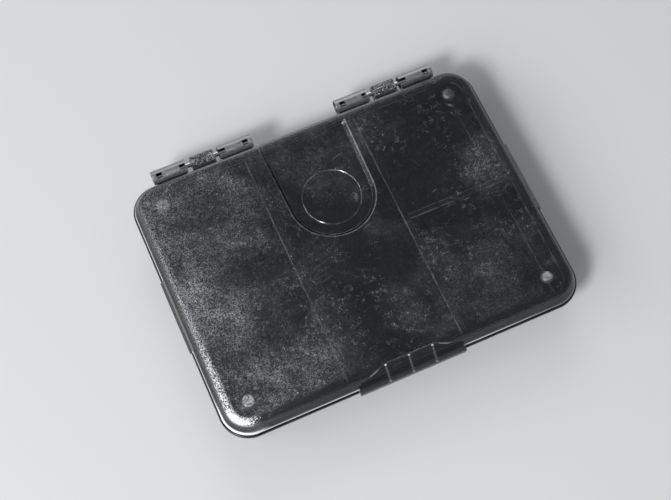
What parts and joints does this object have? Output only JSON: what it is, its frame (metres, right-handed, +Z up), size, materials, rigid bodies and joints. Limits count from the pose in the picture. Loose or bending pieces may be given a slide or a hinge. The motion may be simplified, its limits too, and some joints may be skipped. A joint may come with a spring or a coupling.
{
  "type": "mini tackle box",
  "caption": "Flat hinged box: black moulded tray with divider plates under a smoked clear lid with a thumb latch, for small fishing tackle.",
  "frame": {"origin": "centre of the flat underside of the tray, at the level that the box stands on", "axes": "+X to the box's right, +Y towards the hinges at the back, +Z up; the lid is shut"},
  "size_m": [0.1158, 0.0919, 0.0172],
  "materials": {
    "black_plastic": "satin black moulded plastic with glossy edges",
    "smoked_plastic": "smoked translucent plastic, gloss, finely scuffed",
    "satin_metal": "light-grey satin",
    "pin_steel": "bright drawn"
  },
  "bodies": {
    "base": {"base_tray": "black_plastic", "divider_left": "black_plastic", "divider_right": "black_plastic", "cross_divider": "black_plastic", "hinge_sleeve_left_outer": "satin_metal", "hinge_sleeve_left_inner": "satin_metal", "hinge_sleeve_right_inner": "satin_metal", "hinge_sleeve_right_outer": "satin_metal", "hinge_pin_left": "pin_steel", "hinge_pin_right": "pin_steel"},
    "lid": {"lid_shell": "smoked_plastic", "corner_disc_front_left": "pin_steel", "corner_disc_front_right": "pin_steel", "corner_disc_back_left": "pin_steel", "corner_disc_back_right": "pin_steel"}
  },
  "joints": [
    {"name": "lid_hinge", "type": "hinge", "parent": "base", "child": "lid", "pos_m": [0, 0.0455, 0.0122], "axis": [-1, 0, 0], "range_deg": [0, 180]}
  ]
}
